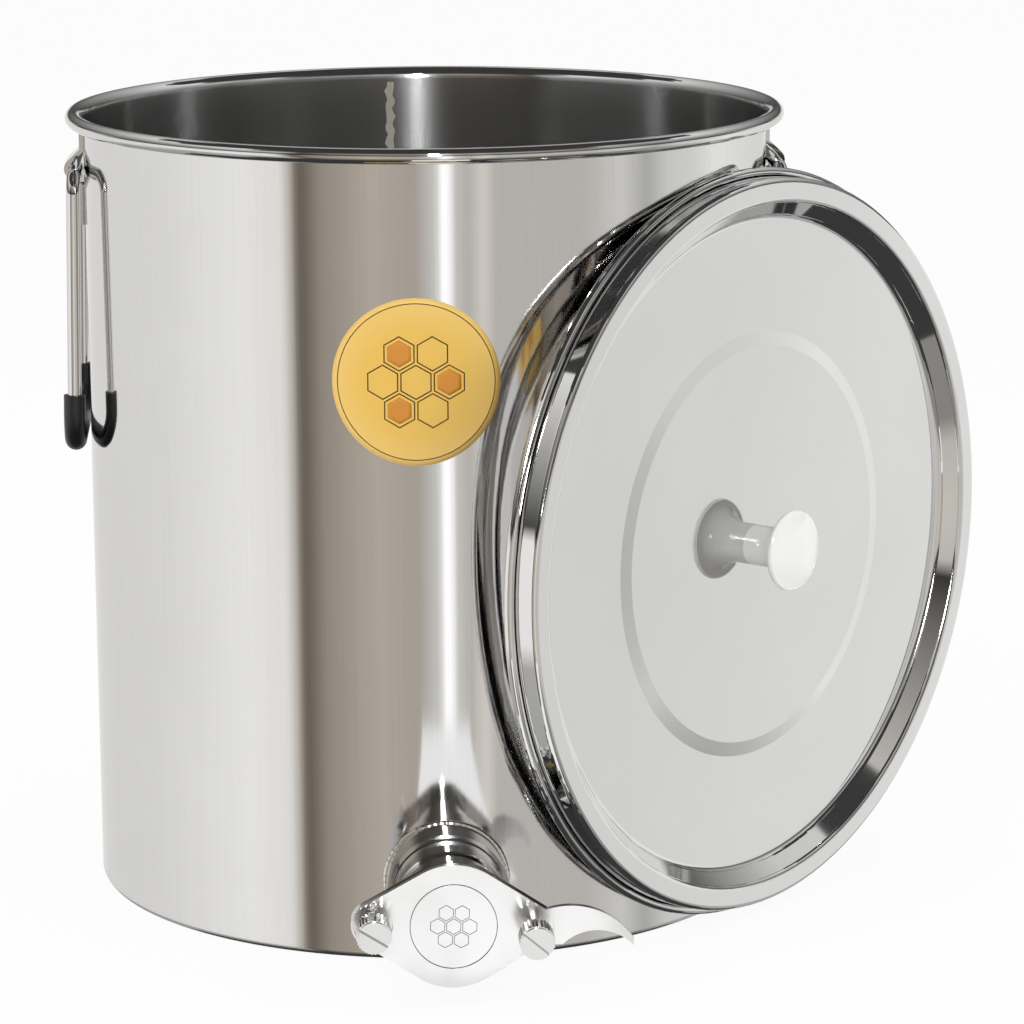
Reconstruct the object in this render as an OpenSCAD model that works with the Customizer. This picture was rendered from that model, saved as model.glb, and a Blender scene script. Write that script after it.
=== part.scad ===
// Honey settling tank: a sheet steel drum with a rolled rim, a swinging shutter gate at its foot,
// two drop handles and a lift-off lid that stands on the floor and leans on the drum.
// The origin is on the floor at the drum's axis. The gate points along -Y and up is +Z.

/* [Drum] */
// Outer diameter of the drum
drum_d = 350; // [340:1:380]
// Height from the floor to the top of the rim
drum_h = 402; // [396:1:460]
// Thickness of the drum's sheet steel
drum_t = 0.8; // [0.6:0.1:1.2]
// Height of the rolled bead round the rim
rim_bead = 7.5; // [6.5:0.1:8.5]
// How far the rim stands out from the drum's wall
rim_out = 9; // [8.2:0.1:10]
// Outer radius of the corner round the bottom
foot_r = 3; // [2:0.5:6]

/* [Gate] */
// Bore that the honey runs through
passage_d = 40; // [36:0.5:42]
// Outer diameter of the threaded pipe
pipe_d = 47.8; // [46:0.1:49]
// Wall of the socket round the pipe
socket_wall = 5.85; // [5.1:0.05:7]
// How far the socket stands out from the wall
socket_len = 20; // [16:0.5:24]
// Thickness of the rubber gasket in front of the socket
gasket_t = 1.5; // [1:0.1:2.5]
// Wall of the ring nut round the pipe
nut_wall = 3.5; // [2.6:0.1:4.1]
// Length of the ring nut
nut_len = 18.5; // [14:0.5:20]
// Gap between the ring nut and the gate's hub
nut_gap = 0.8; // [0.5:0.1:1]
// Wall of the gate's hub round the pipe
hub_wall = 2.4; // [1.6:0.1:3.1]
// Length of the gate's hub behind its flange
hub_len = 23.4; // [20:0.1:28]
// Thickness of the flange
flange_t = 3; // [2.5:0.1:4]
// Diameter of the round middle of flange and shutter
plate_d = 60.6; // [58:0.1:64]
// Radius of the two ears
ear_r = 10.5; // [10.2:0.1:12]
// Distance between the two thumb screws
ear_span = 76.5; // [75:0.5:80]
// Thickness of the shutter
shutter_t = 3.4; // [3:0.1:4]
// Depth of the seats for the screw heads in the shutter
seat_depth = 2; // [1.5:0.1:2.3]
// Gap between the shutter and the flange
face_gap = 0.2; // [0.15:0.05:0.3]
// Diameter of the circle engraved in the shutter
mark_d = 41.4; // [36:0.1:46]
// Thickness of the rubber ring in the flange's face
seal_t = 2.4; // [2:0.1:2.6]
// How far the gate is screwed round past level
gate_turn = 2.3; // [0:0.1:4]

/* [Thumb screws] */
// Diameter of the screws' shanks
shank_d = 8; // [7:0.1:8.4]
// Play round each shank
shank_play = 0.08; // [0.06:0.01:0.1]
// Diameter over the knurled heads
head_d = 17; // [16:0.1:18]
// Length of the knurled heads
head_len = 14; // [12:0.5:16]
// Number of ribs round each head
head_ribs = 30; // [24:1:36]
// Diameter of the plain collar behind each head
collar_d = 11; // [10:0.1:12]
// Length of the collar on the pivot screw
pivot_collar = 7; // [5:0.5:9]
// Length of the collar on the lock screw
lock_collar = 12; // [9:0.5:13]
// Width of the screwdriver slots
slot_w = 2; // [1.6:0.1:2.5]
// Depth of the screwdriver slots
slot_depth = 2.2; // [1.5:0.1:3]

/* [Horn] */
// How far the horn reaches from the gate's middle
horn_reach = 86; // [80:1:90]
// Outer radius of the horn's back
horn_back_r = 36.2; // [35:0.1:38]
// Radius of the hollow under the horn
horn_hollow_r = 23.3; // [22:0.1:24]

/* [Handles] */
// Distance between the two legs of a bail
bail_w = 92; // [84:1:98]
// Distance from the bail's top bar to its bottom bar
bail_h = 136.5; // [125:0.5:148]
// Diameter of the bail's wire
wire_d = 7; // [6:0.1:7]
// Bend radius at the top of a bail
bail_top_r = 9; // [7:0.5:12]
// Bend radius at the bottom of a bail
bail_low_r = 18; // [14:0.5:22]
// Distance from the rim's underside down to the bail's top bar
bail_drop = 22.4; // [19.4:0.5:25.9]
// Distance from the drum's wall to the middle of the wire
bail_off = 3.8; // [3.8:0.1:4.8]
// Outer diameter of the grips
grip_d = 11; // [10:0.1:11.4]
// Gap between the grips and the drum's wall
grip_rest = 1; // [0.3:0.1:2]
// Height of the grips' legs above the bottom bar
grip_rise = 26; // [23:1:34]
// Width of the straps that hold the bails
strap_w = 22; // [18:0.5:26]
// Thickness of the straps
strap_t = 2.2; // [1.6:0.1:2.6]
// How far the straps reach below the rim
strap_len = 51; // [46:0.5:56]
// How far round from the gate's cross line the handles sit
handle_turn = 0; // [-3:0.5:3]

/* [Lid] */
// Thickness of the lid's sheet steel
lid_t = 0.8; // [0.6:0.1:1.1]
// Play between the rim and the lid's skirt
lid_play = 0.4; // [0.3:0.1:0.8]
// Depth of the skirt down to the middle of its bead
skirt_depth = 14.3; // [12:0.1:17]
// Height of the bead round the skirt
lid_bead = 5; // [4:0.1:5.6]
// Width of the flat ring round the lid's top
ring_w = 12; // [11.5:0.1:12.8]
// Depth of the panel below the ring
panel_depth = 10; // [8:0.1:12]
// Height of the pressed step in the panel
step_h = 1.2; // [0.5:0.1:1.6]
// Outer radius of the pressed step
step_r = 108; // [95:1:120]
// Width of the pressed step's slope
step_w = 7.3; // [5:0.1:9]

/* [Knob] */
// Diameter of the knob's head
knob_d = 41; // [36:0.5:46]
// Height of the knob
knob_h = 29; // [26:0.5:33]
// Diameter of the knob's stem
stem_d = 20.6; // [18:0.1:23]
// Diameter of the screw that holds the knob
knob_screw_d = 5; // [4:0.5:6]

/* [Where the lid leans] */
// Angle from the gate round to where the lid leans
lean_side = 46.7; // [44:0.1:50]
// How far the lid's middle is past the point where it leans
lean_shift = 36.8; // [33:0.2:40]
// Angle by which the lid tips back
lean_tip = 0.6; // [0.4:0.1:1]

/* [Hidden] */

$fn = 96;
cut = 1;
arc_steps = 12;

drum_r = drum_d / 2;
drum_in_r = drum_r - drum_t;
pan_h = foot_r + 1;
rim_low_z = drum_h - rim_bead;
rim_mid_r = drum_r + rim_out - rim_bead / 2;
roll_end = -140;

socket_d = pipe_d + 2 * socket_wall;
nut_d = pipe_d + 2 * nut_wall;
hub_d = pipe_d + 2 * hub_wall;

socket_seam = 6.5;
gate_z = pan_h + socket_seam + socket_d / 2;
pipe_in = 1;
gasket_at = drum_r + socket_len;
nut_at = gasket_at + gasket_t;
hub_at = nut_at + nut_len + nut_gap;
flange_at = hub_at + hub_len;
flange_face = flange_at + flange_t;
shutter_at = flange_face + face_gap;
shutter_face = shutter_at + shutter_t;
seat_at = shutter_face - seat_depth;
pipe_engaged = 17;
pipe_end = hub_at + pipe_engaged;
gasket_in = 0.4;
boss_r = 7;
boss_len = 7;
shank_past = 1;
seal_mid_r = passage_d / 4 + hub_d / 4 + 0.8;
seal_proud = 0.1;
seal_side = 0.3;
mark_w = 0.5;
mark_depth = 0.2;
edge_soft = 0.8;

pivot_x = -ear_span / 2;
lock_x = ear_span / 2;
seat_play = 1;
slot_sweep = 18;
head_lift = 0.15;
rib_depth = 0.45;
head_edge = 0.8;
pivot_slot_turn = -30;
lock_slot_turn = -38;

horn_drop = 8;
horn_top = 12;
horn_back_y = -25;
horn_back_x = 56;
horn_hollow_x = 69;
horn_hollow_y = -24;

eye_r = drum_r + bail_off;
eye_z = rim_low_z - bail_drop;
eye_play = 0.3;
eye_mid = wire_d / 2 + eye_play + strap_t / 2;
strap_sag = drum_r - sqrt(drum_r * drum_r - strap_w * strap_w / 4);
strap_x = drum_r - strap_sag + strap_t / 2;
strap_top_gap = 1.5;
strap_bend = 9.5;
strap_hold = atan2(strap_bend, strap_x - eye_r)
    - acos(eye_mid / norm([strap_x - eye_r, strap_bend]));
grip_play = 0.1;
bail_tip = asin((grip_d / 2 + grip_rest - bail_off) / bail_h);

skirt_r = drum_r + rim_out + lid_play + lid_t / 2;
lid_bead_mid = (lid_bead - lid_t) / 2;
lid_bead_r = skirt_r + lid_bead_mid;
ring_corner = 2.5;
ring_in_r = skirt_r - ring_w;
panel_slope = 5.5;
panel_corner = 4;
lid_hole_play = 0.25;
lid_wall_gap = 0.3;
lid_floor_gap = 0.2;
lid_z = lid_bead_r * cos(lean_tip) + lid_bead / 2 + skirt_depth * sin(lean_tip) + lid_floor_gap;
lid_out = drum_r + lid_wall_gap + lid_bead / 2 + skirt_depth * cos(lean_tip) + lid_bead_r * sin(lean_tip);
knob_at = step_h - panel_depth;

stem_r = stem_d / 2;
knob_rim = 1.6;
knob_crown = 4;
insert_wall = 1.6;
insert_len = 14;
knob_head_t = 3;
washer_r = 7.5;
washer_t = 1;

// A sheet metal profile is a path with a thickness: its two sides are the path moved left and right.
function unit(v) = v / norm(v);
function left_of(v) = [-v[1], v[0]];
function side_dir(a, b, c) =
    let (n1 = left_of(unit(b - a)), n2 = left_of(unit(c - b))) (n1 + n2) / (1 + n1 * n2);
function moved(p, t) = let (last = len(p) - 1) [for (i = [0:last])
    i == 0 ? p[0] + t * left_of(unit(p[1] - p[0]))
    : i == last ? p[last] + t * left_of(unit(p[last] - p[last - 1]))
    : p[i] + t * side_dir(p[i - 1], p[i], p[i + 1])];
function backwards(p) = [for (i = [len(p) - 1:-1:0]) p[i]];
function sheet(p, t) = concat(moved(p, t / 2), backwards(moved(p, -t / 2)));
function arc(c, r, from, to, steps = arc_steps) =
    [for (i = [0:steps]) c + r * [cos(from + (to - from) * i / steps), sin(from + (to - from) * i / steps)]];

module at_gate(x = 0) {
    translate([0, 0, gate_z]) rotate([90, 0, 0]) rotate([0, 0, -gate_turn]) translate([x, 0, 0])
        children();
}

module ring(from, to, outer, inner) {
    translate([0, 0, from]) difference() {
        cylinder(d = outer, h = to - from);
        translate([0, 0, -cut]) cylinder(d = inner, h = to - from + 2 * cut);
    }
}

// Drum

module socket_hole() {
    at_gate() translate([0, 0, drum_r / 2]) cylinder(d = socket_d, h = drum_r);
}

module drum_wall() {
    flare_r = rim_mid_r - drum_r + drum_t / 2;
    flare_z = drum_h - drum_t / 2 - flare_r;
    path = concat(
        [[drum_r - drum_t / 2, pan_h]],
        arc([rim_mid_r, flare_z], flare_r, 180, 90),
        arc([rim_mid_r, drum_h - rim_bead / 2], (rim_bead - drum_t) / 2, 80, roll_end, 2 * arc_steps));
    color("silver") difference() {
        rotate_extrude($fn = 180) polygon(sheet(path, drum_t));
        socket_hole();
    }
}

module drum_bottom() {
    corner = foot_r - drum_t / 2;
    path = concat(
        [[0, drum_t / 2]],
        arc([drum_r - foot_r, foot_r], corner, -90, 0),
        [[drum_r - drum_t / 2, pan_h]]);
    color("lightgray") rotate_extrude($fn = 180) polygon(sheet(path, drum_t));
}

// Gate

module gate_socket() {
    color("gainsboro") difference() {
        at_gate() ring(drum_r / 2, gasket_at, socket_d, pipe_d);
        cylinder(r = drum_in_r, h = drum_h);
    }
}

module gate_gasket() {
    color("dimgray") at_gate() ring(gasket_at, nut_at, nut_d, pipe_d + gasket_in);
}

module gate_pipe() {
    color("silver") at_gate() ring(drum_r + pipe_in, pipe_end, pipe_d, passage_d);
}

module gate_ring_nut() {
    profile = [[pipe_d / 2, 0], [nut_d / 2 - edge_soft, 0], [nut_d / 2, edge_soft],
        [nut_d / 2, nut_len - edge_soft], [nut_d / 2 - edge_soft, nut_len], [pipe_d / 2, nut_len]];
    color("gainsboro") at_gate() translate([0, 0, nut_at]) rotate_extrude() polygon(profile);
}

// The outline that flange and shutter share: a round middle with an ear on each side.
module ear_plate() {
    lean = acos((plate_d / 2 - ear_r) / (ear_span / 2));
    polygon(concat(
        arc([0, 0], plate_d / 2, lean, 180 - lean, 2 * arc_steps),
        arc([pivot_x, 0], ear_r, 180 - lean, 180 + lean, 2 * arc_steps),
        arc([0, 0], plate_d / 2, 180 + lean, 360 - lean, 2 * arc_steps),
        arc([lock_x, 0], ear_r, -lean, lean, 2 * arc_steps)));
}

module gate_flange() {
    groove = seal_t + 2 * seal_side;
    color("silver") at_gate() difference() {
        union() {
            translate([0, 0, flange_at]) linear_extrude(flange_t) ear_plate();
            translate([0, 0, hub_at]) cylinder(d1 = hub_d - 2 * edge_soft, d2 = hub_d, h = edge_soft);
            translate([0, 0, hub_at + edge_soft]) cylinder(d = hub_d, h = hub_len);
            for (x = [pivot_x, lock_x])
                translate([x, 0, flange_at - boss_len]) cylinder(r = boss_r, h = boss_len + cut);
        }
        translate([0, 0, hub_at - cut]) cylinder(d = pipe_d, h = pipe_engaged + cut);
        translate([0, 0, hub_at]) cylinder(d = passage_d, h = hub_len + flange_t + cut);
        ring(flange_face - seal_t + seal_proud, flange_face + cut,
            2 * seal_mid_r + groove, 2 * seal_mid_r - groove);
        for (x = [pivot_x, lock_x])
            translate([x, 0, flange_at - boss_len - cut])
                cylinder(d = shank_d + 2 * shank_play, h = boss_len + flange_t + 2 * cut);
    }
}

module gate_seal_ring() {
    color("black") at_gate() translate([0, 0, flange_face + seal_proud - seal_t / 2])
        rotate_extrude() translate([seal_mid_r, 0]) circle(d = seal_t, $fn = 32);
}

// The path that the lock screw takes through the shutter as it swings about the pivot screw.
module swing_slot(width) {
    polygon(concat(
        arc([lock_x, 0], width / 2, 0, 180, 2 * arc_steps),
        arc([pivot_x, 0], ear_span - width / 2, -1, -slot_sweep),
        arc([pivot_x, 0], ear_span + width / 2, -slot_sweep, -1)));
}

module horn() {
    intersection() {
        difference() {
            translate([horn_back_x, horn_back_y]) circle(r = horn_back_r);
            translate([horn_hollow_x, horn_hollow_y]) circle(r = horn_hollow_r);
        }
        translate([lock_x, -horn_drop]) square([horn_reach - lock_x, horn_drop + horn_top]);
    }
}

module gate_shutter() {
    seat_w = head_d + 2 * seat_play;
    color("whitesmoke") at_gate() translate([0, 0, shutter_at]) difference() {
        linear_extrude(shutter_t) union() {
            ear_plate();
            horn();
        }
        translate([pivot_x, 0, -cut]) cylinder(d = shank_d + 2 * shank_play, h = shutter_t + 2 * cut);
        translate([pivot_x, 0, shutter_t - seat_depth]) cylinder(d = seat_w, h = seat_depth + cut);
        translate([0, 0, -cut]) linear_extrude(shutter_t + 2 * cut) swing_slot(shank_d + 2 * eye_play);
        translate([0, 0, shutter_t - seat_depth]) linear_extrude(seat_depth + cut) swing_slot(seat_w);
        ring(shutter_t - mark_depth, shutter_t + cut, mark_d + mark_w, mark_d - mark_w);
    }
}

// Thumb screws

module ribbed_head() {
    outline = [for (i = [0:2 * head_ribs - 1])
        (head_d / 2 - rib_depth * (i % 2)) * [cos(180 * i / head_ribs), sin(180 * i / head_ribs)]];
    translate([0, 0, head_edge]) linear_extrude(head_len - 2 * head_edge) polygon(outline);
    cylinder(r = head_d / 2 - 2 * rib_depth, h = head_len);
}

module thumb_screw(x, collar_len, slot_turn) {
    tail = flange_at - boss_len - shank_past;
    head_at = seat_at + head_lift + collar_len;
    at_gate(x) difference() {
        union() {
            translate([0, 0, tail]) cylinder(d = shank_d, h = head_at - tail);
            translate([0, 0, seat_at + head_lift]) cylinder(d = collar_d, h = collar_len + cut);
            translate([0, 0, head_at]) ribbed_head();
        }
        translate([0, 0, head_at + head_len]) rotate([0, 0, slot_turn])
            cube([head_d + 2 * cut, slot_w, 2 * slot_depth], center = true);
    }
}

module pivot_screw() {
    color("gainsboro") thumb_screw(pivot_x, pivot_collar, pivot_slot_turn);
}

module lock_screw() {
    color("gainsboro") thumb_screw(lock_x, lock_collar, lock_slot_turn);
}

// Handles, drawn on the +X side and turned to their places

module right_side() {
    rotate([0, 0, handle_turn]) children();
}

module left_side() {
    rotate([0, 0, 180 + handle_turn]) children();
}

// A strap is welded flat on the wall above and below, and bulges round the bail's top bar.
module strap() {
    path = concat(
        [[strap_x, rim_low_z - strap_top_gap], [strap_x, eye_z + strap_bend]],
        arc([eye_r, eye_z], eye_mid, strap_hold, -strap_hold),
        [[strap_x, eye_z - strap_bend], [strap_x, rim_low_z - strap_len]]);
    difference() {
        translate([0, strap_w / 2, 0]) rotate([90, 0, 0]) linear_extrude(strap_w)
            polygon(sheet(path, strap_t));
        cylinder(r = drum_r, h = drum_h, $fn = 180);
    }
}

module left_strap() {
    color("silver") left_side() strap();
}

module right_strap() {
    color("silver") right_side() strap();
}

// The wire loop lies in the plane of its own X (along the wall) and Y (up), and leans out at its foot.
module in_bail_plane() {
    translate([eye_r, 0, eye_z]) rotate([0, -bail_tip, 0]) rotate([90, 0, 90]) children();
}

module bend(x, y, bend_r, from, d) {
    translate([x, y, 0]) rotate([0, 0, from]) rotate_extrude(angle = 90)
        translate([bend_r, 0]) circle(d = d, $fn = 32);
}

module lower_loop(d, rise) {
    half = bail_w / 2;
    translate([bail_low_r - half, -bail_h, 0]) rotate([0, 90, 0])
        cylinder(d = d, h = bail_w - 2 * bail_low_r, $fn = 32);
    bend(half - bail_low_r, bail_low_r - bail_h, bail_low_r, 270, d);
    bend(bail_low_r - half, bail_low_r - bail_h, bail_low_r, 180, d);
    for (x = [-half, half]) translate([x, bail_low_r - bail_h, 0]) rotate([-90, 0, 0])
        cylinder(d = d, h = rise - bail_low_r, $fn = 32);
}

module bail() {
    half = bail_w / 2;
    in_bail_plane() {
        lower_loop(wire_d, bail_h - bail_top_r);
        bend(half - bail_top_r, -bail_top_r, bail_top_r, 0, wire_d);
        bend(bail_top_r - half, -bail_top_r, bail_top_r, 90, wire_d);
        translate([bail_top_r - half, 0, 0]) rotate([0, 90, 0])
            cylinder(d = wire_d, h = bail_w - 2 * bail_top_r, $fn = 32);
    }
}

module grip() {
    in_bail_plane() difference() {
        lower_loop(grip_d, grip_rise);
        lower_loop(wire_d + 2 * grip_play, grip_rise + cut);
    }
}

module left_bail() {
    color("lightgray") left_side() bail();
}

module right_bail() {
    color("lightgray") right_side() bail();
}

module left_grip() {
    color("black") left_side() grip();
}

module right_grip() {
    color("black") right_side() grip();
}

// Lid, drawn with its axis along Z and its ring's face at Z = 0, and then stood against the drum

module stood_up() {
    translate([lid_out * sin(lean_side) + lean_shift * cos(lean_side),
            lean_shift * sin(lean_side) - lid_out * cos(lean_side), lid_z])
        rotate([90 - lean_tip, 0, lean_side]) children();
}

module lid_shell() {
    face = -lid_t / 2;
    panel = face - panel_depth;
    top_r = ring_in_r + ring_corner;
    path = concat(
        [[knob_screw_d / 2 + lid_hole_play, panel + step_h], [step_r - step_w, panel + step_h],
            [step_r, panel]],
        arc([ring_in_r - panel_slope - panel_corner, panel + panel_corner], panel_corner, -90, -20),
        arc([top_r, face - ring_corner], ring_corner, 160, 90),
        arc([skirt_r - ring_corner, face - ring_corner], ring_corner, 90, 0),
        arc([lid_bead_r, -skirt_depth], lid_bead_mid, 180, 480, 2 * arc_steps));
    color("silver") stood_up() rotate_extrude($fn = 180) polygon(sheet(path, lid_t));
}

module lid_knob() {
    r = knob_d / 2;
    rim_z = knob_h - knob_crown - knob_rim;
    flare_h = rim_z - knob_rim - stem_r * 0.8;
    crown_r = (pow(r - knob_rim, 2) + pow(knob_crown, 2)) / (2 * knob_crown);
    crown_half = asin((r - knob_rim) / crown_r);
    flare = [for (i = [0:arc_steps]) let (a = 90 * i / arc_steps)
        [r - knob_rim * 0.4 - (r - knob_rim * 0.4 - stem_r) * cos(a), rim_z - knob_rim - flare_h * (1 - sin(a))]];
    color("white") stood_up() translate([0, 0, knob_at]) difference() {
        rotate_extrude() polygon(concat(
            [[0, 0], [stem_r, 0]],
            [for (p = flare) p],
            arc([r - knob_rim, rim_z], knob_rim, -40, 70, 8),
            arc([0, knob_h - crown_r], crown_r, 90 - crown_half, 90, 10)));
        translate([0, 0, -cut]) cylinder(d = knob_screw_d + 2 * insert_wall, h = insert_len + cut);
    }
}

module knob_insert() {
    color("goldenrod") stood_up() ring(knob_at, knob_at + insert_len,
        knob_screw_d + 2 * insert_wall, knob_screw_d);
}

module knob_washer() {
    under = knob_at - lid_t;
    color("silver") stood_up() ring(under - washer_t, under, 2 * washer_r, knob_screw_d + 2 * lid_hole_play);
}

module knob_screw() {
    under = knob_at - lid_t - washer_t;
    color("gray") stood_up() difference() {
        union() {
            translate([0, 0, under]) cylinder(d = knob_screw_d, h = lid_t + washer_t + insert_len - cut);
            translate([0, 0, under - knob_head_t])
                cylinder(d1 = knob_screw_d + 2, d2 = 1.8 * knob_screw_d, h = knob_head_t);
        }
        translate([0, 0, under - knob_head_t])
            cube([2 * knob_screw_d, knob_screw_d / 4, knob_screw_d / 2], center = true);
    }
}

drum_wall();
drum_bottom();
gate_socket();
gate_gasket();
gate_pipe();
gate_ring_nut();
gate_flange();
gate_seal_ring();
gate_shutter();
pivot_screw();
lock_screw();
left_strap();
right_strap();
left_bail();
right_bail();
left_grip();
right_grip();
lid_shell();
lid_knob();
knob_insert();
knob_screw();
knob_washer();
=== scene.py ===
# %% [markdown]
# # A honey settling tank of bright steel
#
# The tank's solids come from CAD with their true sizes, and Blender dresses them: it gives each part
# the finish of the real one, adds what is too thin for CAD, such as weld beads, engraving and a
# sticker, and sets up the studio. The first lines load the CAD model as a fixed frame.

# %% Load the frame
import math

import bmesh
import bpy
from mathutils import Matrix, Vector


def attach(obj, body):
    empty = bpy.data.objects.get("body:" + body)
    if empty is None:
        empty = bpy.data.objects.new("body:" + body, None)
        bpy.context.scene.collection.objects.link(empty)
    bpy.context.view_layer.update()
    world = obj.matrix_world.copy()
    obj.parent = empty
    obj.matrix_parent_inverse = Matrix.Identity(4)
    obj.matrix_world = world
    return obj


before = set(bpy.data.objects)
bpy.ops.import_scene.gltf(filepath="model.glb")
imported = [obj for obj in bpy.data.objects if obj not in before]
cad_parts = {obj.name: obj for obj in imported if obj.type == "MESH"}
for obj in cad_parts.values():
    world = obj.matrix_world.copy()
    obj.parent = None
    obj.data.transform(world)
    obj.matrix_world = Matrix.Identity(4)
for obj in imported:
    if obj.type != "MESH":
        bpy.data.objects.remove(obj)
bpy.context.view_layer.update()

# %% [markdown]
# ## Sizes that the scene shares with CAD
#
# Everything is in metres. The drum stands on the floor round the Z axis and its gate points to -Y.
# The gate's plate is turned a little on its axis, which runs along Y at the gate's height.

# %% Shared sizes
MM = 0.001
DRUM_RADIUS = 175 * MM
SHEET = 0.8 * MM
GATE_HEIGHT = 40.25 * MM
GATE_TURN = math.radians(2.3)
SHUTTER_FACE = 245.8 * MM
SOCKET_RADIUS = 29.75 * MM
STRAP_FACE = 176.9 * MM
print("drum across:", DRUM_RADIUS * 2, "m")

# %% [markdown]
# ## Colour and material helpers
#
# A colour is picked as an sRGB hex value, the way a paint chart gives it, but a shader wants light
# in linear amounts, so one function converts it. A second function adds any node with its settings
# and links, which keeps every material below readable as a list of nodes.

# %% Helpers for materials
def linear(hex_colour):
    """An sRGB hex colour as linear RGBA."""
    parts = [int(hex_colour[i:i + 2], 16) / 255 for i in (1, 3, 5)]
    return [p / 12.92 if p <= 0.04045 else ((p + 0.055) / 1.055) ** 2.4 for p in parts] + [1.0]


def add_node(tree, kind, values=None, links=None, **settings):
    """Adds a node: settings are its own options, values fill sockets, links join sockets to outputs."""
    node = tree.nodes.new(kind)
    for name, value in settings.items():
        setattr(node, name, value)
    for socket, value in (values or {}).items():
        node.inputs[socket].default_value = value
    for socket, output in (links or {}).items():
        tree.links.new(output, node.inputs[socket])
    return node


def start_material(name, colour, metallic, roughness, **sockets):
    """A material whose shader has its plain values set on its own sockets."""
    material = bpy.data.materials.new(name)
    material.use_nodes = True
    tree = material.node_tree
    shader = tree.nodes["Principled BSDF"]
    shader.inputs["Base Color"].default_value = linear(colour)
    shader.inputs["Metallic"].default_value = metallic
    shader.inputs["Roughness"].default_value = roughness
    for name, value in sockets.items():
        shader.inputs[name.replace("_", " ")].default_value = value
    return material, tree, shader


def dress(node_names, material):
    """Gives CAD nodes or new pieces one material."""
    for name in node_names:
        piece = bpy.data.objects[name]
        piece.data.materials.clear()
        piece.data.materials.append(material)
        for face in piece.data.polygons:
            face.material_index = 0


print("white as light:", linear("#ffffff")[:3])

# %% [markdown]
# ## Bright rolled stainless steel
#
# The drum and the lid are AISI 304 sheet, cold rolled and bright annealed. It is close to a mirror,
# but the rollers leave lines along the sheet, about 0.3 mm apart. On the drum they stand upright.
# That is finer than the render can show, so the lines are drawn 1.2 mm apart. A noise that is
# squeezed in X and Y and stretched along Z makes them: it changes roughness and tilts the surface
# a little. A broad noise adds the faint clouds left by handling, and the lid has the same steel with
# lines that run in no direction.
#
# The drum was also scrubbed round and round, more so on the inside. That spreads light up and down
# and draws every lamp as an upright streak. So the gloss is stretched along Z with the anisotropic
# sockets, and the roughness depends on the distance from the drum's axis.

# %% Rolled steel
def rolled_steel(name, colour, roughness, line_gap, stretch, tilt, cloud, **sockets):
    """Returns the material, its texture coordinates and its roughness for further use."""
    material, tree, shader = start_material(name, colour, 1.0, roughness, **sockets)
    place = add_node(tree, "ShaderNodeTexCoord")
    squeeze = add_node(tree, "ShaderNodeMapping", {"Scale": [share / line_gap for share in stretch]},
                       {"Vector": place.outputs["Object"]})
    lines = add_node(tree, "ShaderNodeTexNoise", {"Scale": 1.0, "Detail": 3.0, "Roughness": 0.6},
                     {"Vector": squeeze.outputs["Vector"]})
    clouds = add_node(tree, "ShaderNodeTexNoise", {"Scale": 9.0, "Detail": 4.0, "Roughness": 0.55},
                      {"Vector": place.outputs["Object"]})
    both = add_node(tree, "ShaderNodeMix", {0: cloud}, {2: lines.outputs["Fac"], 3: clouds.outputs["Fac"]})
    rough = add_node(tree, "ShaderNodeMapRange", {"From Min": 0.3, "From Max": 0.7,
                     "To Min": roughness * 0.8, "To Max": roughness * 1.2}, {"Value": both.outputs[0]})
    tone = add_node(tree, "ShaderNodeMapRange", {"From Min": 0.3, "From Max": 0.7, "To Min": 0.96,
                    "To Max": 1.03}, {"Value": both.outputs[0]})
    tint = add_node(tree, "ShaderNodeVectorMath", {0: linear(colour)[:3]}, operation="SCALE")
    tree.links.new(tone.outputs["Result"], tint.inputs["Scale"])
    bump = add_node(tree, "ShaderNodeBump", {"Strength": tilt, "Distance": 0.05 * MM},
                    {"Height": lines.outputs["Fac"]})
    tree.links.new(rough.outputs["Result"], shader.inputs["Roughness"])
    tree.links.new(tint.outputs["Vector"], shader.inputs["Base Color"])
    tree.links.new(bump.outputs["Normal"], shader.inputs["Normal"])
    return material, place, rough


def scrubbed_inside(material, place, outer_roughness, inner_roughness):
    """Makes the steel rougher inside the drum and stretches its gloss upright."""
    tree = material.node_tree
    shader = tree.nodes["Principled BSDF"]
    flat = add_node(tree, "ShaderNodeVectorMath", {1: (1.0, 1.0, 0.0)}, {0: place.outputs["Object"]},
                    operation="MULTIPLY")
    away = add_node(tree, "ShaderNodeVectorMath", links={0: flat.outputs["Vector"]}, operation="LENGTH")
    inside = add_node(tree, "ShaderNodeMath", {1: DRUM_RADIUS - 0.5 * MM}, {0: away.outputs["Value"]},
                      operation="LESS_THAN")
    pick = add_node(tree, "ShaderNodeMix", {3: inner_roughness},
                    {0: inside.outputs[0], 2: outer_roughness.outputs["Result"]})
    tree.links.new(pick.outputs[0], shader.inputs["Roughness"])
    around = add_node(tree, "ShaderNodeTangent", direction_type="RADIAL", axis="Z")
    tree.links.new(around.outputs["Tangent"], shader.inputs["Tangent"])


LINE_GAP = 1.2 * MM
UPRIGHT_LINES = (1.0, 1.0, 0.01)
EVEN_GRAIN = (1.0, 1.0, 1.0)
drum_steel, drum_place, drum_rough = rolled_steel(
    "rolled_stainless_drum", "#dcdcdc", 0.065, LINE_GAP, UPRIGHT_LINES, tilt=0.06, cloud=0.5,
    Anisotropic=0.9, Anisotropic_Rotation=0.25)
scrubbed_inside(drum_steel, drum_place, drum_rough, 0.2)
lid_steel, _, _ = rolled_steel(
    "rolled_stainless_lid", "#e0e0e0", 0.05, LINE_GAP, EVEN_GRAIN, tilt=0.01, cloud=0.7)
dress(["drum_wall", "drum_bottom"], drum_steel)
dress(["lid_shell"], lid_steel)
print(drum_steel.name, len(drum_steel.node_tree.nodes), "nodes")

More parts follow.
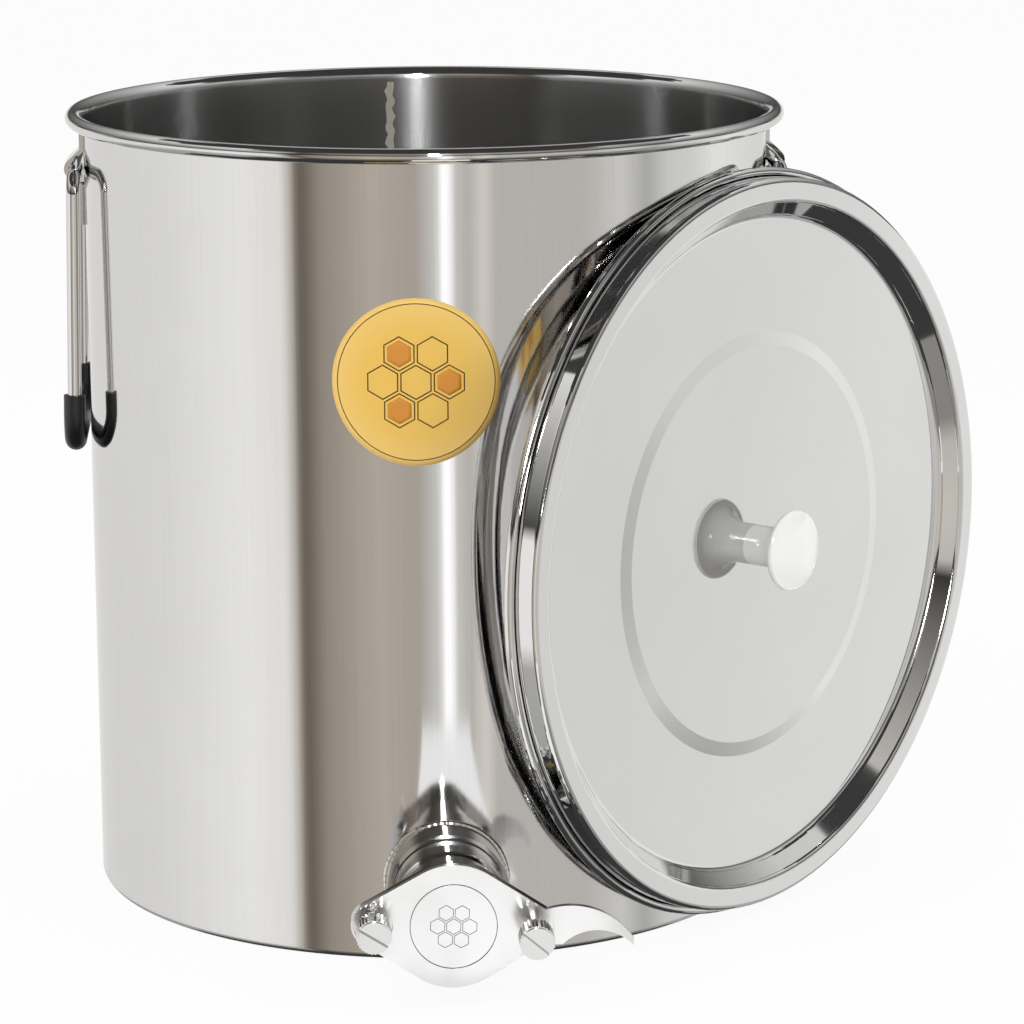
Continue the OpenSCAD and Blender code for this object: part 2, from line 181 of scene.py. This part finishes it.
# %% [markdown]
# ## Turned and ground steel
#
# Socket, ring nut, hub, pipe and thumb screws are turned on a lathe, which leaves fine rings round
# their axis. The gate's axis runs along Y, so a noise that only changes along Y draws those rings.
# The real feed is about 0.15 mm a turn; it is drawn 0.5 mm wide. Bails and straps are drawn wire
# and rolled strip, polished, with hardly any texture: only a faint unevenness in their gloss.

# %% Turned, ground and polished steel
def turned_steel(name, colour, roughness, ring_gap, tilt):
    """Steel or brass with fine rings round the Y axis."""
    material, tree, shader = start_material(name, colour, 1.0, roughness)
    place = add_node(tree, "ShaderNodeTexCoord")
    along = add_node(tree, "ShaderNodeMapping", {"Scale": [8.0, 1 / ring_gap, 8.0]},
                     {"Vector": place.outputs["Object"]})
    rings = add_node(tree, "ShaderNodeTexNoise", {"Scale": 1.0, "Detail": 2.0},
                     {"Vector": along.outputs["Vector"]})
    rough = add_node(tree, "ShaderNodeMapRange", {"From Min": 0.3, "From Max": 0.7,
                     "To Min": roughness * 0.7, "To Max": roughness * 1.3}, {"Value": rings.outputs["Fac"]})
    bump = add_node(tree, "ShaderNodeBump", {"Strength": tilt, "Distance": 0.1 * MM},
                    {"Height": rings.outputs["Fac"]})
    tree.links.new(rough.outputs["Result"], shader.inputs["Roughness"])
    tree.links.new(bump.outputs["Normal"], shader.inputs["Normal"])
    return material


gate_steel = turned_steel("turned_stainless_gate", "#dddddd", 0.10, 0.5 * MM, 0.15)
screw_steel = turned_steel("turned_stainless_screws", "#d8d8d7", 0.12, 0.5 * MM, 0.12)
bail_steel = turned_steel("polished_wire_and_strip", "#dcdcdc", 0.05, 6 * MM, 0.02)
dress(["gate_socket", "gate_pipe", "gate_ring_nut", "gate_flange"], gate_steel)
dress(["pivot_screw", "lock_screw", "knob_screw", "knob_washer"], screw_steel)
dress(["left_bail", "right_bail", "left_strap", "right_strap"], bail_steel)
print("steels:", [m.name for m in bpy.data.materials if "stainless" in m.name])

# %% [markdown]
# The shutter's face is ground with a fine belt, which leaves straight scratches and a satin sheen.
# A noise squeezed along Z draws the scratches, and a broad one lets the sheen change from wear. The
# plate is paler than the bright parts.

# %% Ground plate
def ground_plate(colour, roughness):
    material, tree, shader = start_material("ground_stainless_plate", colour, 1.0, roughness)
    place = add_node(tree, "ShaderNodeTexCoord")
    streaks = add_node(tree, "ShaderNodeMapping", {"Scale": [90.0, 90.0, 2500.0]},
                       {"Vector": place.outputs["Object"]})
    grain = add_node(tree, "ShaderNodeTexNoise", {"Scale": 1.0, "Detail": 3.0},
                     {"Vector": streaks.outputs["Vector"]})
    wear = add_node(tree, "ShaderNodeTexNoise", {"Scale": 30.0, "Detail": 2.0},
                    {"Vector": place.outputs["Object"]})
    rough = add_node(tree, "ShaderNodeMapRange", {"From Min": 0.35, "From Max": 0.65,
                     "To Min": roughness - 0.06, "To Max": roughness + 0.08}, {"Value": wear.outputs["Fac"]})
    bump = add_node(tree, "ShaderNodeBump", {"Strength": 0.12, "Distance": 0.1 * MM},
                    {"Height": grain.outputs["Fac"]})
    tree.links.new(rough.outputs["Result"], shader.inputs["Roughness"])
    tree.links.new(bump.outputs["Normal"], shader.inputs["Normal"])
    return material


plate_steel = ground_plate("#f0f0f0", 0.24)
dress(["gate_shutter"], plate_steel)
print(plate_steel.name)

# %% [markdown]
# ## Plastic, rubber and brass
#
# The knob is moulded from glossy white urea plastic: almost a mirror for lamps, with a tiny
# orange-peel waviness. The sleeves on the bails are dipped soft black plastic, smooth but dull.
# Gasket and seal are moulded nitrile rubber, duller still. The knob's insert is turned brass.

# %% Plastics and rubber
def moulded(name, colour, roughness, grain_gap, tilt, **sockets):
    """Plastic, rubber or ink with a fine, even grain."""
    material, tree, shader = start_material(name, colour, 0.0, roughness, IOR=1.5, **sockets)
    place = add_node(tree, "ShaderNodeTexCoord")
    grain = add_node(tree, "ShaderNodeTexNoise", {"Scale": 1 / grain_gap, "Detail": 3.0},
                     {"Vector": place.outputs["Object"]})
    rough = add_node(tree, "ShaderNodeMapRange", {"From Min": 0.3, "From Max": 0.7,
                     "To Min": roughness * 0.85, "To Max": roughness * 1.2}, {"Value": grain.outputs["Fac"]})
    bump = add_node(tree, "ShaderNodeBump", {"Strength": tilt, "Distance": 0.2 * MM},
                    {"Height": grain.outputs["Fac"]})
    tree.links.new(rough.outputs["Result"], shader.inputs["Roughness"])
    tree.links.new(bump.outputs["Normal"], shader.inputs["Normal"])
    return material


knob_plastic = moulded("moulded_white_urea", "#fbfbfa", 0.10, 4 * MM, 0.03,
                       Coat_Weight=0.4, Coat_Roughness=0.05)
sleeve_plastic = moulded("dipped_black_vinyl", "#1a1a1c", 0.34, 1.5 * MM, 0.10)
seal_rubber = moulded("moulded_nitrile_rubber", "#141414", 0.6, 0.8 * MM, 0.15)
insert_brass = turned_steel("turned_brass", "#c9a253", 0.25, 0.5 * MM, 0.1)
dress(["lid_knob"], knob_plastic)
dress(["left_grip", "right_grip"], sleeve_plastic)
dress(["gate_gasket", "gate_seal_ring"], seal_rubber)
dress(["knob_insert"], insert_brass)
print("plastics:", knob_plastic.name, sleeve_plastic.name, seal_rubber.name)

# %% [markdown]
# ## Thin things that lie on a surface
#
# A sticker, the lines printed on it and the etched lines of the shutter are flat shapes laid on a
# surface. Each is drawn in the plane with coordinates u and v in metres, and a small function says
# where that plane lies: bent round the drum, or flat on the shutter and turned with it. Every shape
# gets a little thickness, so that it is a closed body.

# %% Planes to draw on
STICKER_AZIMUTH = math.radians(-4.11)
STICKER_HEIGHT = 289.3 * MM


def on_wall(u, v, lift):
    """The drum's wall seen from outside, with (0, 0) at the sticker's middle."""
    angle = STICKER_AZIMUTH + u / DRUM_RADIUS
    away = DRUM_RADIUS + lift
    return Vector((away * math.sin(angle), -away * math.cos(angle), STICKER_HEIGHT + v))


def on_shutter(u, v, lift):
    """The shutter's face, with (0, 0) at the gate's axis."""
    turned = Matrix.Rotation(-GATE_TURN, 2) @ Vector((u, v))
    return Vector((turned.x, -(SHUTTER_FACE + lift), GATE_HEIGHT + turned.y))


print("sticker's middle:", [round(v, 4) for v in on_wall(0, 0, 0)])

# %% [markdown]
# The motifs are made of circles and of honeycomb cells. A cell is a hexagon that stands on a corner.
# Six cells round a seventh make the smallest piece of comb, and their middles lie on a circle.

# %% Circles and cells
def circle_points(radius, steps=96):
    return [(radius * math.cos(2 * math.pi * i / steps), radius * math.sin(2 * math.pi * i / steps))
            for i in range(steps)]


def cell_points(centre, size, steps=4):
    """A hexagon, each side cut into steps so that it can bend."""
    turns = [math.pi / 3 * i for i in range(6)]
    corners = [Vector((centre[0] + size * math.sin(a), centre[1] + size * math.cos(a))) for a in turns]
    return [tuple(corners[i].lerp(corners[(i + 1) % 6], j / steps)) for i in range(6) for j in range(steps)]


def honeycomb(size):
    """Middles of seven cells, the first at the origin."""
    step = size * math.sqrt(3)
    turns = [math.pi / 3 * i for i in range(6)]
    return [(0, 0)] + [(step * math.cos(a), step * math.sin(a)) for a in turns]


print("cells:", len(honeycomb(1)), "with", len(cell_points((0, 0), 1)), "points each")

# %% [markdown]
# A line of ink is a closed ribbon along its points, and a filled shape is a patch of rings round its
# own middle, so that it can bend with the wall. Both reach from one height over the surface to
# another. A corner of a ribbon is widened so that the line keeps its width there.

# %% Ribbons and patches
def band(bm, points, width, plane, low, high):
    """A closed ribbon round the points, from one lift to another."""
    count = len(points)
    rings = []
    for i, point in enumerate(points):
        here, before, after = Vector(point), Vector(points[i - 1]), Vector(points[(i + 1) % count])
        one, two = (here - before).normalized(), (after - here).normalized()
        side = Vector((-(one + two).y, (one + two).x)).normalized()
        side *= width / 2 / max(0.5, side.dot(Vector((-one.y, one.x))))
        ring = []
        for sign, lift in ((-1, low), (1, low), (1, high), (-1, high)):
            edge = here + side * sign
            ring.append(bm.verts.new(plane(edge.x, edge.y, lift)))
        rings.append(ring)
    for i in range(count):
        a, b = rings[i], rings[(i + 1) % count]
        for j in range(4):
            bm.faces.new((a[j], a[(j + 1) % 4], b[(j + 1) % 4], b[j]))


def patch(bm, outline, plane, low, high, rings=6):
    """A filled shape round its own middle, from one lift to another."""
    count = len(outline)
    middle = Vector((sum(p[0] for p in outline) / count, sum(p[1] for p in outline) / count))
    sides = []
    for lift in (low, high):
        hub = bm.verts.new(plane(middle.x, middle.y, lift))
        rows = [[bm.verts.new(plane(*middle.lerp(Vector(p), r / rings), lift)) for p in outline]
                for r in range(1, rings + 1)]
        for i in range(count):
            j = (i + 1) % count
            bm.faces.new((hub, rows[0][i], rows[0][j]))
            for inner, outer in zip(rows, rows[1:]):
                bm.faces.new((inner[i], outer[i], outer[j], inner[j]))
        sides.append(rows[-1])
    for i in range(count):
        j = (i + 1) % count
        bm.faces.new((sides[0][i], sides[0][j], sides[1][j], sides[1][i]))


def finish_piece(name, bm, material, body, smooth=True):
    """Makes the bmesh a piece that rides on a body and has the material in its one slot."""
    bmesh.ops.recalc_face_normals(bm, faces=bm.faces)
    mesh = bpy.data.meshes.new(name)
    bm.to_mesh(mesh)
    bm.free()
    mesh.materials.append(material)
    for face in mesh.polygons:
        face.use_smooth = smooth
    piece = bpy.data.objects.new(name, mesh)
    bpy.context.scene.collection.objects.link(piece)
    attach(piece, body)
    return piece


print("ready to draw")

# %% [markdown]
# ## Sticker
#
# The sticker is a round vinyl label, 81 mm across, in a honey yellow with a slight satin sheen. Its
# colour turns paler towards the edge, and a thin brown ring is printed near it. The motif is a plain
# piece of honeycomb with three filled cells.

# %% Vinyl and inks
STICKER_RADIUS = 40.7 * MM
VINYL_BACK = 0.02 * MM
VINYL_TOP = 0.18 * MM
INK = 0.03 * MM


def printed_vinyl(name, colour, edge_colour, roughness):
    """Vinyl whose colour turns towards another at the sticker's edge."""
    material, tree, shader = start_material(name, colour, 0.0, roughness, IOR=1.46)
    place = add_node(tree, "ShaderNodeTexCoord")
    away = add_node(tree, "ShaderNodeVectorMath", {1: on_wall(0, 0, 0)}, {0: place.outputs["Object"]},
                    operation="DISTANCE")
    share = add_node(tree, "ShaderNodeMapRange", {"From Min": 25 * MM, "From Max": 41 * MM},
                     {"Value": away.outputs["Value"]})
    blend = add_node(tree, "ShaderNodeMix", {6: linear(colour), 7: linear(edge_colour)},
                     {0: share.outputs["Result"]}, data_type="RGBA")
    fibre = add_node(tree, "ShaderNodeTexNoise", {"Scale": 700.0, "Detail": 2.0},
                     {"Vector": place.outputs["Object"]})
    bump = add_node(tree, "ShaderNodeBump", {"Strength": 0.05, "Distance": 0.1 * MM},
                    {"Height": fibre.outputs["Fac"]})
    tree.links.new(blend.outputs[2], shader.inputs["Base Color"])
    tree.links.new(bump.outputs["Normal"], shader.inputs["Normal"])
    return material


vinyl = printed_vinyl("printed_vinyl_gold", "#f0c35a", "#f6cd74", 0.38)
ink = moulded("printed_brown_ink", "#4a2c12", 0.45, 2 * MM, 0.02)
honey_ink = moulded("printed_honey_ink", "#d98f2b", 0.42, 2 * MM, 0.02)
print("sticker materials:", vinyl.name, ink.name, honey_ink.name)

# %% Label
bm = bmesh.new()
patch(bm, circle_points(STICKER_RADIUS), on_wall, VINYL_BACK, VINYL_TOP, rings=12)
sticker = finish_piece("sticker", bm, vinyl, "tank")
print("sticker:", [round(v, 4) for v in sticker.dimensions])

# %% Printed lines and filled cells
PRINTED_RING = 38.0 * MM
CELL = 9.2 * MM
bm = bmesh.new()
band(bm, circle_points(PRINTED_RING), 0.45 * MM, on_wall, VINYL_TOP, VINYL_TOP + INK)
for middle in honeycomb(CELL):
    band(bm, cell_points(middle, CELL * 0.9), 0.6 * MM, on_wall, VINYL_TOP, VINYL_TOP + INK * 4 / 3)
sticker_lines = finish_piece("sticker_lines", bm, ink, "tank")

bm = bmesh.new()
for middle in honeycomb(CELL)[1::2]:
    patch(bm, cell_points(middle, CELL * 0.72), on_wall, VINYL_TOP, VINYL_TOP + INK * 2 / 3, rings=3)
sticker_honey = finish_piece("sticker_honey", bm, honey_ink, "tank")
print("printed:", sticker_lines.name, sticker_honey.name)

# %% [markdown]
# ## Etched mark
#
# The shutter carries a smaller piece of comb, etched dark inside the circle that is cut into its
# face. The circle's groove is dark as well. The mark swings with the shutter.

# %% Etched mark on the shutter
MARK_RADIUS = 20.7 * MM
PLATE_CELL = 4.4 * MM
etched = moulded("etched_dark_steel", "#1e1c1a", 0.5, 1 * MM, 0.05)
bm = bmesh.new()
band(bm, circle_points(MARK_RADIUS), 0.3 * MM, on_shutter, -0.19 * MM, -0.02 * MM)
for middle in honeycomb(PLATE_CELL):
    band(bm, cell_points(middle, PLATE_CELL * 0.88, 1), 0.28 * MM, on_shutter, 0.005 * MM, 0.03 * MM)
shutter_mark = finish_piece("shutter_mark", bm, etched, "shutter")
print("mark:", [round(v, 4) for v in shutter_mark.dimensions])

# %% [markdown]
# ## Welds
#
# The socket is welded into the wall by hand with a bead about 3 mm wide that ripples. The bead
# follows the line where the socket's cylinder meets the drum's: at a distance x from the gate's axis
# the wall has drawn back to the square root of the drum's radius squared less x squared.

# %% Weld bead round the socket
def weld_bead(radius, thick, count, sides=10):
    bm = bmesh.new()
    forward = Vector((0, -1, 0))
    rings = []
    for i in range(count):
        turn = 2 * math.pi * i / count
        x, z = radius * math.cos(turn), radius * math.sin(turn)
        centre = Vector((x, -math.sqrt(DRUM_RADIUS ** 2 - x * x), GATE_HEIGHT + z))
        out = Vector((math.cos(turn), 0, math.sin(turn)))
        size = thick * (1 + 0.05 * math.sin(turn * 61) + 0.06 * math.sin(turn * 13 + 1))
        angles = [2 * math.pi * j / sides for j in range(sides)]
        rings.append([bm.verts.new(centre + (out * math.cos(a) + forward * math.sin(a)) * size)
                      for a in angles])
    for i in range(count):
        a, b = rings[i], rings[(i + 1) % count]
        for j in range(sides):
            k = (j + 1) % sides
            bm.faces.new((a[j], a[k], b[k], b[j]))
    return bm


weld_steel = turned_steel("bright_weld_bead", "#e2e0dc", 0.22, 2 * MM, 0.1)
bead = weld_bead(SOCKET_RADIUS, 1.5 * MM, 288)
socket_weld = finish_piece("socket_weld", bead, weld_steel, "tank")
print("bead:", [round(v, 4) for v in socket_weld.dimensions])

# %% [markdown]
# The drum itself is one sheet rolled up and welded along its back. That seam was ground flat, which
# leaves a dull, pale upright strip with ragged edges on both sides of the wall.

# %% Ground seam
SEAM_AZIMUTH = math.radians(-175.9)
SEAM_WIDTH = 4.2 * MM
SEAM_THICK = 0.08 * MM
SEAM_FOOT = 5 * MM


def ground_seam(name, radius, lift, high, rows=160):
    """A ragged upright strip that lies on the wall at the given radius."""
    bm = bmesh.new()
    strip_rows = []
    for i in range(rows + 1):
        z = SEAM_FOOT + (high - SEAM_FOOT) * i / rows
        rag = [0.14 * math.sin(z * 1900 + side) + 0.1 * math.sin(z * 4300 + 2 * side) for side in (0, 3)]
        left, right = -SEAM_WIDTH * (0.5 + rag[0]), SEAM_WIDTH * (0.5 + rag[1])
        row = []
        for edge, away in ((left, 0), (right, 0), (right, lift), (left, lift)):
            angle = SEAM_AZIMUTH + edge / radius
            reach = radius + away
            row.append(bm.verts.new((reach * math.sin(angle), -reach * math.cos(angle), z)))
        strip_rows.append(row)
    for a, b in zip(strip_rows, strip_rows[1:]):
        for j in range(4):
            bm.faces.new((a[j], a[(j + 1) % 4], b[(j + 1) % 4], b[j]))
    bm.faces.new(strip_rows[0])
    bm.faces.new(strip_rows[-1])
    return finish_piece(name, bm, seam_steel, "tank", smooth=False)


seam_steel = turned_steel("ground_weld_seam", "#ebe6da", 0.5, 1 * MM, 0.2)
seam_inside = ground_seam("seam_inside", DRUM_RADIUS - SHEET, -SEAM_THICK, 394 * MM)
seam_outside = ground_seam("seam_outside", DRUM_RADIUS, SEAM_THICK, 390 * MM)
print("seam:", seam_inside.name, seam_outside.name)

# %% [markdown]
# Each strap is spot welded to the wall, with two flat round marks above the bail's bar and two
# below it.

# %% Spot welds
SPOT_HEIGHTS = (387.5 * MM, 352 * MM)
SPOT_SPREAD = 6 * MM


def spot_welds(name, side):
    """side is -1 for the left strap and 1 for the right one."""
    bm = bmesh.new()
    facing = Matrix.Rotation(side * math.pi / 2, 4, "Y")
    for height in SPOT_HEIGHTS:
        for across in (-SPOT_SPREAD, SPOT_SPREAD):
            spot = bmesh.ops.create_cone(bm, cap_ends=True, segments=24, radius1=2.4 * MM,
                                         radius2=1.9 * MM, depth=0.3 * MM)
            place = Matrix.Translation((side * STRAP_FACE, across, height)) @ facing
            bmesh.ops.transform(bm, matrix=place, verts=spot["verts"])
    return finish_piece(name, bm, weld_steel, "tank", smooth=False)


left_welds, right_welds = spot_welds("left_spot_welds", -1), spot_welds("right_spot_welds", 1)
print("spot welds:", left_welds.name, right_welds.name)

# %% [markdown]
# ## The camera
#
# The photograph was taken from above the rim with a long lens. The gate faces the camera almost
# squarely, the camera looks 12.4 degrees down, and it is rolled by a third of a degree. A camera
# looks along its own -Z with +Y up, so its three axes are worked out and set as a matrix.

# %% Camera
def photo_camera():
    down, roll = math.radians(12.41), math.radians(-0.31)
    level = Vector((0.0610, 0.9981, 0)).normalized()
    side = level.cross(Vector((0, 0, 1)))
    look = level * math.cos(down) - Vector((0, 0, math.sin(down)))
    up = side.cross(look)
    side, up = side * math.cos(roll) + up * math.sin(roll), up * math.cos(roll) - side * math.sin(roll)
    data = bpy.data.cameras.new("photo_camera")
    data.sensor_width = 36
    data.lens = 142.98
    data.clip_end = 50
    camera = bpy.data.objects.new("photo_camera", data)
    turn = Matrix((side, up, -look)).transposed().to_4x4()
    camera.matrix_world = Matrix.Translation((-0.0836, -2.0830, 0.6458)) @ turn
    bpy.context.scene.collection.objects.link(camera)
    bpy.context.scene.camera = camera
    return camera


camera = photo_camera()
print("camera at", [round(v, 3) for v in camera.location])

# %% [markdown]
# ## Floor, surround and light
#
# Bright steel has almost no colour of its own: what it shows is the room. A product studio puts the
# object on a pale floor inside a pale surround with a few darker panels, and these draw the soft
# grey bands on the drum. The surround here is one big open cylinder that only reflections see. Its
# material is a colour ramp round the room. The camera sees a plain white world behind the object.

# %% Floor
def pale_floor():
    """Pale paper that the camera sees almost white and that reflections don't see."""
    mesh = bpy.data.meshes.new("floor")
    bm = bmesh.new()
    bmesh.ops.create_grid(bm, x_segments=1, y_segments=1, size=6)
    bm.to_mesh(mesh)
    bm.free()
    floor = bpy.data.objects.new("floor", mesh)
    bpy.context.scene.collection.objects.link(floor)
    material = bpy.data.materials.new("pale_floor")
    material.use_nodes = True
    tree = material.node_tree
    tree.nodes.clear()
    path = add_node(tree, "ShaderNodeLightPath")
    paper = add_node(tree, "ShaderNodeBsdfDiffuse", {"Color": linear("#f4f4f4")})
    white = add_node(tree, "ShaderNodeEmission", {"Color": linear("#ffffff"), "Strength": 1.0})
    share = add_node(tree, "ShaderNodeMath", {1: 0.94}, {0: path.outputs["Is Camera Ray"]},
                     operation="MULTIPLY")
    mixed = add_node(tree, "ShaderNodeMixShader",
                     links={0: share.outputs[0], 1: paper.outputs[0], 2: white.outputs[0]})
    add_node(tree, "ShaderNodeOutputMaterial", links={"Surface": mixed.outputs[0]})
    mesh.materials.append(material)
    floor.visible_glossy = False
    return floor


floor = pale_floor()
print("floor", floor.dimensions[:])

# %% [markdown]
# The surround, the strip lamp and the card only glow, and nothing but a reflection sees them, so they
# shape the steel's bands and leave the knob and the sticker alone.

# %% Glowing pieces of the studio
def glowing(name, colour, strength):
    """A material that only gives light."""
    material = bpy.data.materials.new(name)
    material.use_nodes = True
    tree = material.node_tree
    tree.nodes.clear()
    glow = add_node(tree, "ShaderNodeEmission", {"Color": linear(colour), "Strength": strength})
    add_node(tree, "ShaderNodeOutputMaterial", links={"Surface": glow.outputs[0]})
    return material, tree, glow


def stage_piece(name, bm, material):
    """Turns a bmesh into a piece of the studio that only reflections see."""
    mesh = bpy.data.meshes.new(name)
    bm.to_mesh(mesh)
    bm.free()
    mesh.materials.append(material)
    piece = bpy.data.objects.new(name, mesh)
    bpy.context.scene.collection.objects.link(piece)
    for ray in ("camera", "diffuse", "transmission", "shadow", "volume_scatter"):
        setattr(piece, "visible_" + ray, False)
    return piece


print("glowing pieces are hidden from all but glossy rays")

# %% [markdown]
# The drum's wall at an angle from the gate reflects the room at about twice that angle. So each band
# on the steel is one stop of the ramp: its direction in degrees from the gate towards +X, and the
# grey that the steel should show there. Since steel keeps back some light, the glow is raised by as
# much. A second ramp dims the room low down and high up; only the drum's inside and the rings of the
# rim, lid and gate see it there.

# %% Surround
def surround(radius, bands, levels, steel):
    """bands: (degrees, grey on the steel); levels: (height in metres, share of the glow)."""
    bm = bmesh.new()
    bmesh.ops.create_cone(bm, cap_ends=False, segments=96, radius1=radius, radius2=radius, depth=2 * radius)
    bmesh.ops.reverse_faces(bm, faces=bm.faces)
    material, tree, glow = glowing("studio_surround", "#ffffff", 1.0)
    place = add_node(tree, "ShaderNodeTexCoord")
    split = add_node(tree, "ShaderNodeSeparateXYZ", links={0: place.outputs["Object"]})
    flip = add_node(tree, "ShaderNodeMath", {1: -1.0}, {0: split.outputs["Y"]}, operation="MULTIPLY")
    angle = add_node(tree, "ShaderNodeMath", links={0: split.outputs["X"], 1: flip.outputs[0]},
                     operation="ARCTAN2")
    turn = add_node(tree, "ShaderNodeMapRange", {"From Min": -math.pi, "From Max": math.pi},
                    {"Value": angle.outputs[0]})
    ramp = add_node(tree, "ShaderNodeValToRGB", links={"Fac": turn.outputs["Result"]})
    stops = ramp.color_ramp.elements
    while len(stops) > 1:
        stops.remove(stops[-1])
    gain = 1 / linear(steel)[0]
    for i, (degrees, colour) in enumerate(bands):
        stop = stops[0] if i == 0 else stops.new(degrees / 360 + 0.5)
        stop.color = [c * gain for c in linear(colour)[:3]] + [1]
    height = add_node(tree, "ShaderNodeMapRange", {"From Min": -radius, "From Max": radius},
                      {"Value": split.outputs["Z"]})
    shade = add_node(tree, "ShaderNodeValToRGB", links={"Fac": height.outputs["Result"]})
    steps = shade.color_ramp.elements
    steps[0].color = [levels[0][1]] * 3 + [1]
    for metres, share in levels:
        steps.new((metres + radius) / (2 * radius)).color = (share, share, share, 1)
    tree.links.new(ramp.outputs["Color"], glow.inputs["Color"])
    tree.links.new(shade.outputs["Color"], glow.inputs["Strength"])
    return stage_piece("studio_surround", bm, material)


BANDS = [
    (-180, "#cdccca"), (-155, "#c8c7c5"), (-100, "#d4d3d1"), (-64, "#e3e2e0"), (-50, "#dcdad6"),
    (-46.5, "#ada79e"), (-44.5, "#6c645b"), (-42, "#6a6259"), (-36, "#90877d"), (-28, "#9e958b"),
    (-20, "#ada49a"), (-6, "#a29b92"), (-3, "#b0aba6"), (0, "#c0beba"), (1.5, "#d4d3d0"), (2.8, "#ffffff"),
    (4.8, "#ffffff"), (7, "#c2bfba"), (11, "#b0aca7"), (16, "#cdc8c1"), (20, "#b2afaa"), (50, "#b2afaa"),
    (64, "#c4c3c0"), (74, "#a6a5a2"), (84, "#c4c4c2"), (96, "#cbcbc9"), (108, "#dedddc"), (125, "#d6d6d4"),
    (150, "#c6c5c3"), (179, "#cdccca")]
LEVELS = [(-1.9, 0.5), (-1.4, 1.0), (0.5, 1.0), (0.75, 0.07), (4.0, 0.07)]
room = surround(4.0, BANDS, LEVELS, "#dcdcdc")
print("surround radius", room.dimensions[0] / 2)

# %% [markdown]
# A narrow upright strip lamp behind the camera draws the streak inside the drum. A white card on the
# floor in front of the gate lights the shutter's face, which mirrors the floor there.

# %% Strip lamp and card
def flat_card(name, corners, colour, strength):
    bm = bmesh.new()
    bm.faces.new([bm.verts.new(corner) for corner in corners])
    material, _, _ = glowing(name, colour, strength)
    return stage_piece(name, bm, material)


def strip_lamp(name, azimuth, width, low, high, reach, strength):
    """An upright strip of light: azimuth and width in degrees, low and high in metres."""
    sides = [math.radians(azimuth + turn) for turn in (-width / 2, width / 2)]
    (ax, ay), (bx, by) = [(reach * math.sin(a), -reach * math.cos(a)) for a in sides]
    corners = [(ax, ay, low), (ax, ay, high), (bx, by, high), (bx, by, low)]
    return flat_card(name, corners, "#ffffff", strength)


def floor_card(name, left, right, near, far, strength):
    """A card 1 mm above the floor, from near to far in front of the drum's axis."""
    corners = [(left, -near, MM), (right, -near, MM), (right, -far, MM), (left, -far, MM)]
    return flat_card(name, corners, "#ffffff", strength)


strip = strip_lamp("strip_lamp", azimuth=0.5, width=3.0, low=0.9, high=3.4, reach=3.8, strength=24.0)
card = floor_card("gate_card", left=-0.05, right=0.09, near=0.28, far=0.60, strength=1.1)
print("glowing:", strip.name, card.name)

# %% [markdown]
# The lamps are three large soft boxes: a key lamp high on the left, a weaker one on the right and a
# broad one overhead. Their size makes the soft edges, and their power is low enough that white
# plastic stays just below white. Reflections don't see them, so the steel shows the surround alone.

# %% Lamps
def soft_box(name, place, aim, width, height, power):
    data = bpy.data.lights.new(name, "AREA")
    data.shape = "RECTANGLE"
    data.size, data.size_y, data.energy = width, height, power
    lamp = bpy.data.objects.new(name, data)
    bpy.context.scene.collection.objects.link(lamp)
    lamp.location = place
    lamp.rotation_euler = (Vector(aim) - Vector(place)).to_track_quat("-Z", "Y").to_euler()
    lamp.visible_camera = False
    lamp.visible_glossy = False
    return lamp


soft_box("key_left", (-1.6, -1.6, 2.0), (0, 0, 0.2), 1.4, 1.4, 28)
soft_box("fill_right", (2.0, -1.2, 1.4), (0, 0, 0.2), 1.2, 1.2, 14)
soft_box("overhead", (0, 0.2, 2.6), (0, 0, 0), 1.8, 1.8, 16)

# %% [markdown]
# The world is white for the camera, dimmer as a light and nearly black in reflections, which keeps
# the drum's inside dark.

# %% World
def white_world():
    world = bpy.data.worlds.new("white_studio")
    bpy.context.scene.world = world
    world.use_nodes = True
    tree = world.node_tree
    tree.nodes.clear()
    path = add_node(tree, "ShaderNodeLightPath")
    glossy = add_node(tree, "ShaderNodeMapRange", {"To Min": 0.55, "To Max": 0.05},
                      {"Value": path.outputs["Is Glossy Ray"]})
    strength = add_node(tree, "ShaderNodeMix", {3: 1.0},
                        {0: path.outputs["Is Camera Ray"], 2: glossy.outputs["Result"]})
    sky = add_node(tree, "ShaderNodeBackground", {"Color": linear("#ffffff")},
                   {"Strength": strength.outputs[0]})
    add_node(tree, "ShaderNodeOutputWorld", links={"Surface": sky.outputs[0]})


white_world()
bpy.context.scene.view_settings.view_transform = "Standard"
print("world", bpy.context.scene.world.name)
